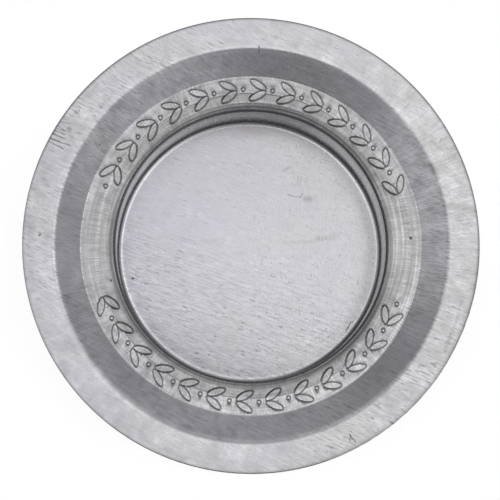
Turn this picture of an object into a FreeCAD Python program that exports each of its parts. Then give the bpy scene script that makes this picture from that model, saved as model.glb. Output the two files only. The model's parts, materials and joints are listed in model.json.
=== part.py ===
# Candle holder lid for a small preserving jar: one disc of thin steel sheet, pressed to shape.
# The flat flange lies on the jar's glass rim, where the jar's screw band clamps it. Inside the
# flange a shallow sloping step drops the sheet into the jar's mouth, to a level ring. From the
# ring a straight-sided well drops further, and a tea light stands in it.
# Millimetres, +Z up. The lid stands on the underside of the well's floor, and the origin is the
# middle of that face.

import FreeCAD
import Part

import math
import os

# The jar that the lid fits
jar_mouth_diameter = 60.3
mouth_clearance = 0.65
flange_width = 4.65

# The candle that stands in the well
tea_light_diameter = 38.5
tea_light_clearance = 1.05
well_depth = 12.0

# The sloping step between the flange and the ring
step_width = 4.0
step_drop = 1.5

# The sheet and its bends, each radius taken on the inside of its bend
sheet_thickness = 0.45
floor_bend = 0.7
mouth_bend = 0.95
step_foot_bend = 0.8
shoulder_bend = 1.75

# The blanked outer edge, broken a little on its upper side
edge_break = 0.15

# Radii from the axis
step_top_radius = jar_mouth_diameter / 2 - mouth_clearance
rim_radius = step_top_radius + flange_width
ring_radius = step_top_radius - step_width
well_radius = tea_light_diameter / 2 + tea_light_clearance

# Heights of the sheet's upper side above the face that the lid stands on
floor_height = sheet_thickness
ring_height = floor_height + well_depth
flange_height = ring_height + step_drop

# A bend takes no more than this share of the shorter run beside it
LARGEST_BEND_SHARE = 0.45

# A bend that turns the sheet further than this is made of several equal arcs
LONGEST_ARC = math.radians(50)

AXIS_POINT = FreeCAD.Vector(0, 0, 0)
AXIS = FreeCAD.Vector(0, 0, 1)
FULL_TURN = 360


def section_point(radius, height):
    """A point of the sheet's section, in the half plane that is turned about the axis."""
    return FreeCAD.Vector(radius, 0, height)


def bend_arc(before, corner, after, radius):
    """The arc that rounds a corner between two straight runs."""
    back = before - corner
    ahead = after - corner
    longest_setback = LARGEST_BEND_SHARE * min(back.Length, ahead.Length)
    back.normalize()
    ahead.normalize()
    half_angle = back.getAngle(ahead) / 2
    setback = min(radius / math.tan(half_angle), longest_setback)
    arc_radius = setback * math.tan(half_angle)
    to_arc = arc_radius / math.sin(half_angle) - arc_radius
    middle = corner + (back + ahead).normalize() * to_arc
    return Part.Arc(corner + back * setback, middle, corner + ahead * setback)


def bent_line(start, bends, end):
    """Wire from start to end. Each bend between them is a corner and the radius that rounds it."""
    corners = [corner for corner, radius in bends]
    befores = [start] + corners[:-1]
    afters = corners[1:] + [end]
    edges = []
    run_start = start
    for before, (corner, radius), after in zip(befores, bends, afters):
        arc = bend_arc(before, corner, after, radius)
        edges.append(Part.LineSegment(run_start, arc.StartPoint).toShape())
        turn = arc.LastParameter - arc.FirstParameter
        count = math.ceil(turn / LONGEST_ARC)
        for index in range(count):
            arc_start = arc.FirstParameter + turn * index / count
            arc_end = arc.FirstParameter + turn * (index + 1) / count
            edges.append(arc.toShape(arc_start, arc_end))
        run_start = arc.EndPoint
    edges.append(Part.LineSegment(run_start, end).toShape())
    return Part.Wire(edges)


def upper_side():
    """The sheet's upper side, from the middle of the well's floor out to the rim."""
    floor_middle = section_point(0, floor_height)
    bends = [
        (section_point(well_radius, floor_height), floor_bend),
        (section_point(well_radius, ring_height), mouth_bend + sheet_thickness),
        (section_point(ring_radius, ring_height), step_foot_bend),
        (section_point(step_top_radius, flange_height), shoulder_bend + sheet_thickness),
    ]
    rim = section_point(rim_radius, flange_height)
    return bent_line(floor_middle, bends, rim)


def is_upper_rim(edge):
    """Whether an edge is the flange's outer circle, on the sheet's upper side."""
    curve = edge.Curve
    if not isinstance(curve, Part.Circle):
        return False
    return math.isclose(curve.Radius, rim_radius) and math.isclose(curve.Center.z, flange_height)


def candle_lid():
    """The whole lid: the sheet's section turned about the axis, with the rim's edge broken."""
    section = upper_side().makeOffset2D(-sheet_thickness, join=0, fill=True, openResult=True)
    pressed = section.revolve(AXIS_POINT, AXIS, FULL_TURN).Solids[0]
    rim = [edge for edge in pressed.Edges if is_upper_rim(edge)]
    rim_break = min(edge_break, LARGEST_BEND_SHARE * sheet_thickness)
    return pressed.makeChamfer(rim_break, rim).Solids[0]


parts = {"candle_lid": candle_lid()}

os.makedirs("parts", exist_ok=True)
for name, shape in parts.items():
    shape.exportStep(f"parts/{name}.step")
    box = shape.optimalBoundingBox()
    print(
        f"{name}: {shape.ShapeType}, {len(shape.Faces)} faces, valid {shape.isValid()}, "
        f"volume {shape.Volume:.1f} mm3, {box.XLength:.2f} x {box.YLength:.2f} x {box.ZLength:.2f} mm, "
        f"lowest point {box.ZMin:.3f}"
    )
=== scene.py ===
"""Looks of a candle holder jar lid: one disc of pressed sheet steel, seen from above.

The lid is a sheet of one thickness. Its section is drawn as a chain of points, spun about the
lid's axis, stamped with a border of leaves and berries on its ring, and dressed in a rolled
steel finish. Lengths are in metres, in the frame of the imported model: the lid stands on z = 0,
+Z runs up its axis, and the photograph's right and up are +X and +Y.
"""

import json
import logging
import math
from dataclasses import dataclass
from enum import Enum

import bpy
from mathutils import Matrix, Vector


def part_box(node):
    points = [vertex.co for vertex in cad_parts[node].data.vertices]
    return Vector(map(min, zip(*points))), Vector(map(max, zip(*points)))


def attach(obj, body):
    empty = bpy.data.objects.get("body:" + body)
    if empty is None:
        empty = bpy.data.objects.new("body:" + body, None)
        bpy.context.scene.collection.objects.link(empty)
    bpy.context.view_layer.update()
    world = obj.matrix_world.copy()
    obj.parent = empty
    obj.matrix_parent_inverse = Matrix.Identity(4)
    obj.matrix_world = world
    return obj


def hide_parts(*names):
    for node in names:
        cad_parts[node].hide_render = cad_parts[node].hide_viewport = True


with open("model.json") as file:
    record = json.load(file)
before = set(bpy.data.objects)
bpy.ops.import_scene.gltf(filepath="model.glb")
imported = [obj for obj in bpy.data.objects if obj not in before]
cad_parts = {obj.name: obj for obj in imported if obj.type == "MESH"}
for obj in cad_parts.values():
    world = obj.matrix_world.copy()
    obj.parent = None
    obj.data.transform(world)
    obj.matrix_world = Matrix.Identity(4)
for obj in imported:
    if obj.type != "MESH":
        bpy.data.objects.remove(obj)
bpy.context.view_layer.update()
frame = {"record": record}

LOG = logging.getLogger("candle_lid")

MM = 0.001
FULL_TURN = 2 * math.pi
QUARTER_TURN = math.pi / 2
BODY = "root"
LID_NODE = "candle_lid"
WELL_MOUNT = "tea_light_well"
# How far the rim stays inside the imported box
BOX_MARGIN = 0.001 * MM

# Points of the sheet that lie closer together than this are merged
MERGE_DISTANCE = 0.0005 * MM

# Places of the colour sockets among a mix node's inputs and outputs
COLOUR_MIX_INPUTS = (0, 6, 7)
COLOUR_MIX_OUTPUT = 2

# Sockets of the node groups that carry vectors, while all others carry numbers
VECTOR_SOCKETS = ("Place", "Spoke", "Middle", "Towards", "Start", "End")

# Gain that brings a noise texture's output to about one either way of zero
NOISE_GAIN = 4.0

# Factors that leave a vector only its level part
LEVEL = (1, 1, 0)

# Least squared length that a stroke is taken to have, so that a point can be a stroke too
LEAST_LENGTH_SQUARED = 1e-6

# Over how much of the cosine, to each side of its bound, a band fades out round the axis
BAND_FADE = 0.25

# Bound of a band that goes all the way round the axis
ALL_ROUND = -2.0


def clear_selection() -> None:
    """Leaves edit mode and deselects every object."""
    if bpy.context.object and bpy.context.object.mode != "OBJECT":
        bpy.ops.object.mode_set(mode="OBJECT")
    bpy.ops.object.select_all(action="DESELECT")


def select_only(*pieces: bpy.types.Object) -> None:
    """Makes some objects the only selected ones, and the first of them the active one."""
    clear_selection()
    for piece in pieces:
        piece.select_set(True)
    bpy.context.view_layer.objects.active = pieces[0]


def join(pieces: list[bpy.types.Object]) -> bpy.types.Object:
    """Joins some objects into the first of them."""
    select_only(*pieces)
    bpy.ops.object.join()
    return bpy.context.object


def apply_modifiers(piece: bpy.types.Object) -> None:
    """Applies a piece's modifiers in order."""
    select_only(piece)
    for name in [modifier.name for modifier in piece.modifiers]:
        bpy.ops.object.modifier_apply(modifier=name)


def mount_radius(name: str) -> float:
    """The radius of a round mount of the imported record, in metres."""
    mounts = {mount["name"]: mount for mount in frame["record"]["mounts"]}
    return mounts[name]["dims"]["r_mm"] * MM


def level_direction(degrees: float) -> Vector:
    """A level unit vector, by its angle from +X."""
    return Vector((math.cos(math.radians(degrees)), math.sin(math.radians(degrees)), 0))


class NodeDesk:
    """Lays nodes in one node tree and joins them."""

    def __init__(self, tree: bpy.types.NodeTree) -> None:
        """Starts work on a tree.

        Args:
            tree: The node tree of a material, a world or a group.
        """
        self.nodes = tree.nodes
        self.links = tree.links

    def feed(self, socket: bpy.types.NodeSocket, value: object) -> None:
        """Joins an input to the socket that feeds it, or sets it to a fixed value."""
        if isinstance(value, bpy.types.NodeSocket):
            self.links.new(value, socket)
        else:
            socket.default_value = value

    def add(self, kind: str, feeds: dict | None = None, **settings: object) -> bpy.types.Node:
        """Adds a node.

        Args:
            kind: The node's type.
            feeds: What goes into its inputs: a socket to join, or a fixed value.
            settings: The node's own settings.

        Returns:
            The node.
        """
        node = self.nodes.new(kind)
        for name, value in settings.items():
            setattr(node, name, value)
        for key, value in (feeds or {}).items():
            self.feed(node.inputs[key], value)
        return node

    def calc(self, operation: str, *values: object) -> bpy.types.NodeSocket:
        """The result of a sum on plain numbers."""
        return self.add("ShaderNodeMath", dict(enumerate(values)), operation=operation).outputs[0]

    def calc_vector(self, operation: str, *values: object) -> bpy.types.NodeSocket:
        """The result of a sum on vectors, as a vector or a number by its kind."""
        node = self.add("ShaderNodeVectorMath", dict(enumerate(values)), operation=operation)
        is_number = operation in ("DOT_PRODUCT", "LENGTH", "DISTANCE")
        return node.outputs["Value" if is_number else "Vector"]

    def scale(self, vector: object, factor: object) -> bpy.types.NodeSocket:
        """A vector times a number."""
        node = self.add("ShaderNodeVectorMath", {0: vector, "Scale": factor}, operation="SCALE")
        return node.outputs["Vector"]

    def parts(self, vector: object) -> bpy.types.NodeOutputs:
        """A vector's X, Y and Z, by these names."""
        return self.add("ShaderNodeSeparateXYZ", {0: vector}).outputs

    def point(self, x: object = 0.0, y: object = 0.0, z: object = 0.0) -> bpy.types.NodeSocket:
        """A vector from its X, Y and Z."""
        return self.add("ShaderNodeCombineXYZ", {"X": x, "Y": y, "Z": z}).outputs["Vector"]

    def product(self, *values: object) -> bpy.types.NodeSocket:
        """All the numbers multiplied."""
        total = values[0]
        for value in values[1:]:
            total = self.calc("MULTIPLY", total, value)
        return total

    def total(self, *values: object) -> bpy.types.NodeSocket:
        """All the numbers added."""
        total = values[0]
        for value in values[1:]:
            total = self.calc("ADD", total, value)
        return total

    def weigh(self, *terms: tuple) -> bpy.types.NodeSocket:
        """The sum of some terms, each of them the product of its own numbers."""
        return self.total(*(self.product(*term) for term in terms))

    def over(self, value: object, bound: float) -> bpy.types.NodeSocket:
        """How far a number lies above a bound, or zero where it lies below."""
        return self.calc("MAXIMUM", self.calc("SUBTRACT", value, bound), 0.0)

    def clamp(self, value: object) -> bpy.types.NodeSocket:
        """A number held between 0 and 1."""
        return self.add("ShaderNodeClamp", {"Value": value}).outputs["Result"]

    def mix(self, factor: object, first: object, second: object) -> bpy.types.NodeSocket:
        """A number between two numbers."""
        feeds = {"Factor": factor, "A": first, "B": second}
        return self.add("ShaderNodeMix", feeds, data_type="FLOAT").outputs["Result"]

    def mix_colour(self, factor: object, first: object, second: object) -> bpy.types.NodeSocket:
        """A colour between two colours."""
        feeds = dict(zip(COLOUR_MIX_INPUTS, (factor, first, second)))
        return self.add("ShaderNodeMix", feeds, data_type="RGBA").outputs[COLOUR_MIX_OUTPUT]

    def fade(
        self, value: object, low: float, high: float, to_low: float = 0.0, to_high: float = 1.0
    ) -> bpy.types.NodeSocket:
        """Runs smoothly from one number to another while a value runs between two bounds.

        Args:
            value: The value.
            low: Where the change starts.
            high: Where the change ends.
            to_low: Number at the start.
            to_high: Number at the end.

        Returns:
            The number.
        """
        feeds = {
            "Value": value,
            "From Min": low,
            "From Max": high,
            "To Min": to_low,
            "To Max": to_high,
        }
        node = self.add("ShaderNodeMapRange", feeds, interpolation_type="SMOOTHSTEP")
        return node.outputs["Result"]

    def between(self, value: object, low: float, high: float, soft: float) -> bpy.types.NodeSocket:
        """A mask that is 1 while a value lies between two bounds.

        Args:
            value: The value.
            low: Lower bound.
            high: Upper bound.
            soft: Width of the fade at each bound.

        Returns:
            The mask.
        """
        rise = self.fade(value, low - soft / 2, low + soft / 2)
        fall = self.fade(value, high - soft / 2, high + soft / 2, 1.0, 0.0)
        return self.calc("MULTIPLY", rise, fall)

    def noise(self, at: object, per_unit: float, detail: float = 2.0) -> bpy.types.NodeSocket:
        """Cloudy noise about zero, of about one either way.

        Args:
            at: Where it is read.
            per_unit: Number of its clouds in one unit.
            detail: Number of finer layers in it.

        Returns:
            The noise.
        """
        node = self.add("ShaderNodeTexNoise", {"Vector": at, "Scale": per_unit, "Detail": detail})
        return self.calc("MULTIPLY_ADD", node.outputs["Fac"], NOISE_GAIN, -NOISE_GAIN / 2)

    def group(self, tree: bpy.types.NodeTree, feeds: dict) -> bpy.types.NodeOutputs:
        """The outputs of a group's node, with its inputs fed."""
        return self.add("ShaderNodeGroup", feeds, node_tree=tree).outputs


class GroupDesk(NodeDesk):
    """Lays the nodes of a new shader node group."""

    def __init__(self, name: str, takes: tuple[str, ...], gives: tuple[str, ...]) -> None:
        """Starts the group.

        Args:
            name: Name of the group.
            takes: Names of its inputs.
            gives: Names of its outputs.
        """
        self.tree = bpy.data.node_groups.new(name, "ShaderNodeTree")
        super().__init__(self.tree)
        for sockets, way in ((takes, "INPUT"), (gives, "OUTPUT")):
            for socket in sockets:
                kind = "NodeSocketVector" if socket in VECTOR_SOCKETS else "NodeSocketFloat"
                self.tree.interface.new_socket(socket, in_out=way, socket_type=kind)
        self._entry = self.add("NodeGroupInput")
        self._exit = self.add("NodeGroupOutput")

    def take(self, name: str) -> bpy.types.NodeSocket:
        """What comes in by one of the group's inputs."""
        return self._entry.outputs[name]

    def give(self, name: str, value: bpy.types.NodeSocket) -> None:
        """Sends a value out by one of the group's outputs."""
        self.feed(self._exit.inputs[name], value)


@dataclass(frozen=True)
class Station:
    """One point of the sheet's upper side, in the half plane that is spun about the axis.

    Attributes:
        radius: Distance from the axis.
        height: Height above the floor.
        slope: Direction in which the section runs on, as an angle above level.
    """

    radius: float
    height: float
    slope: float

    def under(self, thickness: float) -> tuple[float, float]:
        """The point straight through the sheet, as a radius and a height."""
        return (
            self.radius + thickness * math.sin(self.slope),
            self.height - thickness * math.cos(self.slope),
        )


class SectionPen:
    """Draws the sheet's upper side from the axis outwards, as straight runs and tangent bends."""

    def __init__(self, height: float, border: float) -> None:
        """Starts on the axis, level.

        Args:
            height: Height of the first point.
            border: Length of the short stretch on each side of a bend, which keeps the bend's
                shading off the flat beside it.
        """
        self.stations = [Station(0.0, height, 0.0)]
        self.border = border

    def run_on(self, length: float) -> None:
        """Draws one straight stretch of a given length at the last station's slope."""
        start = self.stations[-1]
        self.run_to(
            start.radius + length * math.cos(start.slope),
            start.height + length * math.sin(start.slope),
            1,
        )

    def run_to(self, radius: float, height: float, steps: int) -> None:
        """Draws a straight run, which keeps the slope of the last station.

        Args:
            radius: Radius of the run's end.
            height: Height of the run's end.
            steps: Number of equal stretches in the run.
        """
        start = self.stations[-1]
        for step in range(1, steps + 1):
            share = step / steps
            self.stations.append(
                Station(
                    start.radius + (radius - start.radius) * share,
                    start.height + (height - start.height) * share,
                    start.slope,
                )
            )

    def round_corner(
        self,
        corner: tuple[float, float],
        next_slope: float,
        bend_radius: float,
        run_steps: int,
        bend_steps: int,
    ) -> None:
        """Runs towards a corner and rounds it on to the next slope.

        Args:
            corner: Radius and height where the two runs would meet.
            next_slope: Slope of the run after the corner.
            bend_radius: Radius of the bend, on the upper side.
            run_steps: Number of equal stretches in the run before the bend.
            bend_steps: Number of equal turns in the bend.
        """
        slope = self.stations[-1].slope
        turn = next_slope - slope
        setback = bend_radius * math.tan(abs(turn) / 2)
        to_bend = setback + self.border
        self.run_to(
            corner[0] - to_bend * math.cos(slope),
            corner[1] - to_bend * math.sin(slope),
            run_steps,
        )
        self.run_on(self.border)
        start = self.stations[-1]
        side = math.copysign(bend_radius, turn)
        centre_radius = start.radius - side * math.sin(slope)
        centre_height = start.height + side * math.cos(slope)
        for step in range(1, bend_steps + 1):
            angle = slope + turn * step / bend_steps
            self.stations.append(
                Station(
                    centre_radius + side * math.sin(angle),
                    centre_height - side * math.cos(angle),
                    angle,
                )
            )
        self.run_on(self.border)


@dataclass(frozen=True)
class SheetForm:
    """Sizes of the pressed sheet. The bends' radii are those of the sheet's upper side.

    Attributes:
        rim_radius: Outer radius of the flange.
        overall_height: Height of the flange's upper side.
        well_radius: Inner radius of the well.
        thickness: Thickness of the sheet.
        flange_width: Width of the flange, from the top of the step to the rim.
        step_width: Width of the sloping step, seen from above.
        step_drop: How far the ring lies below the flange.
        floor_bend: Radius of the corner round the well's floor.
        mouth_bend: Radius of the bend at the well's mouth.
        foot_bend: Radius of the bend at the foot of the step.
        shoulder_bend: Radius of the bend between the step and the flange.
        crease_drop: How far the ring's inner half lies below its outer half.
        crease_slope: Slope of the crease between the two halves.
        crease_bend: Radius of the crease's two bends.
        rollover: Radius of the rim's blanked upper edge.
        burr: Radius of the rim's lower edge.
        bend_border: Length of the short stretch on each side of a bend.
    """

    rim_radius: float
    overall_height: float
    well_radius: float
    thickness: float = 0.45 * MM
    flange_width: float = 4.65 * MM
    step_width: float = 4.0 * MM
    step_drop: float = 1.5 * MM
    floor_bend: float = 0.7 * MM
    mouth_bend: float = 1.4 * MM
    foot_bend: float = 0.8 * MM
    shoulder_bend: float = 2.2 * MM
    crease_drop: float = 0.05 * MM
    crease_slope: float = math.radians(12)
    crease_bend: float = 0.6 * MM
    rollover: float = 0.15 * MM
    burr: float = 0.05 * MM
    bend_border: float = 0.05 * MM

    @property
    def step_top_radius(self) -> float:
        """Radius where the step meets the flange."""
        return self.rim_radius - self.flange_width

    @property
    def ring_radius(self) -> float:
        """Radius where the ring meets the step."""
        return self.step_top_radius - self.step_width

    @property
    def ring_height(self) -> float:
        """Height of the ring's outer half."""
        return self.overall_height - self.step_drop

    @property
    def crease_radius(self) -> float:
        """Radius of the crease, midway between the well's wall and the step's foot."""
        return (self.well_radius + self.ring_radius) / 2

    def upper_side(self) -> list[Station]:
        """The sheet's upper side, from the axis out to where the rim rolls over."""
        step_slope = math.atan2(self.step_drop, self.step_width)
        crease_half_width = self.crease_drop / math.tan(self.crease_slope) / 2
        mouth_height = self.ring_height - self.crease_drop
        crease_inside = (self.crease_radius - crease_half_width, mouth_height)
        crease_outside = (self.crease_radius + crease_half_width, self.ring_height)
        # Each corner's place, the slope after it, its bend, and the steps of its run and bend
        corners = (
            ((self.well_radius, self.thickness), QUARTER_TURN, self.floor_bend, 8, 6),
            ((self.well_radius, mouth_height), 0.0, self.mouth_bend, 4, 9),
            (crease_inside, self.crease_slope, self.crease_bend, 2, 3),
            (crease_outside, 0.0, self.crease_bend, 0, 3),
            ((self.ring_radius, self.ring_height), step_slope, self.foot_bend, 3, 3),
            ((self.step_top_radius, self.overall_height), 0.0, self.shoulder_bend, 3, 5),
        )
        flange_steps = 4
        flange_end = self.rim_radius - self.rollover - self.bend_border
        pen = SectionPen(self.thickness, self.bend_border)
        for corner in corners:
            pen.round_corner(*corner)
        pen.run_to(flange_end, self.overall_height, flange_steps)
        pen.run_on(self.bend_border)
        return pen.stations

    def outline(self) -> list[tuple[float, float]]:
        """The section's whole outline as radii and heights: upper side, rim, then underside."""
        upper = self.upper_side()
        rim_turns = 4
        points = [(station.radius, station.height) for station in upper]
        for step in range(1, rim_turns + 1):
            angle = QUARTER_TURN * step / rim_turns
            points.append(
                (
                    self.rim_radius - self.rollover * (1 - math.sin(angle)),
                    self.overall_height - self.rollover * (1 - math.cos(angle)),
                )
            )
        under_height = self.overall_height - self.thickness
        points.append((self.rim_radius, under_height + self.burr))
        points.append((self.rim_radius - self.burr, under_height))
        points.extend(station.under(self.thickness) for station in reversed(upper[:-1]))
        return points


@dataclass
class PressedSheet:
    """The lid's sheet: its section spun about the axis, stamped, and worn a little out of true.

    Attributes:
        form: Sizes of the sheet.
        segments: Number of segments round the axis.
        sag: Depth of the flange's and ring's slow waviness.
        sag_length: Length of the slow waves.
        floor_crown: Height of the floor's slow waviness.
        floor_crown_length: Length of the floor's waves.
        wave_layers: Number of finer layers in the waves and bites.
        bite: Depth of the small bites in the rim's edge.
        bite_length: Length of the bites.
        rough_from: Direction where the rough part of the rim starts.
        rough_to: Direction where the rough part of the rim ends.
        rough_fade: Angle over which the rough part fades in and out.
        rim_depth: How far inside the rim the bites reach.
        sharp_angle: Angle from which an edge stays sharp.
    """

    form: SheetForm
    segments: int = 480
    sag: float = 0.03 * MM
    sag_length: float = 9 * MM
    floor_crown: float = 0.03 * MM
    floor_crown_length: float = 11 * MM
    wave_layers: int = 2
    bite: float = 0.16 * MM
    bite_length: float = 0.9 * MM
    rough_from: float = math.radians(-72)
    rough_to: float = math.radians(-12)
    rough_fade: float = math.radians(14)
    rim_depth: float = 0.08 * MM
    sharp_angle: float = math.radians(30)

    def build(self) -> bpy.types.Object:
        """Builds the sheet as one closed mesh."""
        sheet = self._chain()
        self._spin(sheet)
        return sheet

    def _chain(self) -> bpy.types.Object:
        """Draws the section's outline as a chain of edges, one extruded vertex after another."""
        outline = self.form.outline()
        first_radius, first_height = outline[0]
        clear_selection()
        bpy.ops.mesh.primitive_plane_add(size=MM, location=(0, 0, 0))
        sheet = bpy.context.object
        sheet.name = "pressed_sheet"
        bpy.ops.object.mode_set(mode="EDIT")
        bpy.ops.mesh.select_all(action="SELECT")
        bpy.ops.mesh.merge(type="CENTER")
        bpy.ops.transform.translate(value=(first_radius, 0, first_height))
        for (radius, height), (next_radius, next_height) in zip(outline, outline[1:]):
            move = (next_radius - radius, 0, next_height - height)
            bpy.ops.mesh.extrude_region_move(TRANSFORM_OT_translate={"value": move})
        return sheet

    def _spin(self, sheet: bpy.types.Object) -> None:
        """Spins the chain into a closed shell.

        Args:
            sheet: The chain, in edit mode.
        """
        bpy.ops.mesh.select_all(action="SELECT")
        bpy.ops.mesh.spin(steps=self.segments, angle=FULL_TURN, center=(0, 0, 0), axis=(0, 0, 1))
        bpy.ops.mesh.select_all(action="SELECT")
        bpy.ops.mesh.remove_doubles(threshold=MERGE_DISTANCE)
        bpy.ops.mesh.normals_make_consistent(inside=False)
        bpy.ops.object.mode_set(mode="OBJECT")
        LOG.info("%s: %d faces after the spin", sheet.name, len(sheet.data.polygons))

    def stamp(self, sheet: bpy.types.Object, border: bpy.types.Object) -> None:
        """Presses a border of raised pads into the sheet, with hollows to match beneath.

        Args:
            sheet: The sheet.
            border: The pads, which reach into the sheet from above. It is used up.
        """
        for operation in ("UNION", "DIFFERENCE"):
            press = sheet.modifiers.new(operation.lower(), "BOOLEAN")
            press.operation = operation
            press.solver = "MANIFOLD"
            press.object = border
            apply_modifiers(sheet)
            select_only(border)
            bpy.ops.object.mode_set(mode="EDIT")
            bpy.ops.mesh.select_all(action="SELECT")
            bpy.ops.transform.translate(value=(0, 0, -self.form.thickness))
            bpy.ops.object.mode_set(mode="OBJECT")
        bpy.data.objects.remove(border)
        LOG.info("%s: %d faces after stamping", sheet.name, len(sheet.data.polygons))

    def wear(self, sheet: bpy.types.Object) -> None:
        """Lets the sheet sag within its own height, and roughens part of its rim.

        Args:
            sheet: The sheet, with its border stamped.
        """
        half_way = self.form.overall_height / 2
        parts = {
            "upper": (lambda place: float(place.z > half_way), "Z", -self.sag, self.sag_length),
            "floor": (
                lambda place: float(place.z <= half_way),
                "Z",
                self.floor_crown,
                self.floor_crown_length,
            ),
            "rough_rim": (self._roughness_at, "NORMAL", -self.bite, self.bite_length),
        }
        for name, (weight_at, direction, depth, length) in parts.items():
            group = sheet.vertex_groups.new(name=name)
            for vertex in sheet.data.vertices:
                weight = weight_at(vertex.co)
                if weight > 0:
                    group.add([vertex.index], weight, "REPLACE")
            waves = bpy.data.textures.new(f"{name}_waves", "CLOUDS")
            waves.noise_scale = length
            waves.noise_depth = self.wave_layers
            push = sheet.modifiers.new(name, "DISPLACE")
            push.texture = waves
            push.direction = direction
            push.vertex_group = name
            push.mid_level = 0
            push.strength = depth
        apply_modifiers(sheet)

    def _roughness_at(self, place: Vector) -> float:
        """How rough the rim is at a point, from 0 to 1."""
        if math.hypot(place.x, place.y) < self.form.rim_radius - self.rim_depth:
            return 0.0
        middle = (self.rough_from + self.rough_to) / 2
        half_range = (self.rough_to - self.rough_from) / 2
        away = abs(math.remainder(math.atan2(place.y, place.x) - middle, FULL_TURN))
        return min(1.0, max(0.0, (half_range - away) / self.rough_fade))

    def smooth(self, sheet: bpy.types.Object) -> None:
        """Shades the sheet smooth, and keeps its edges sharp.

        Args:
            sheet: The finished sheet.
        """
        select_only(sheet)
        bpy.ops.object.shade_smooth_by_angle(angle=self.sharp_angle)


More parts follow.
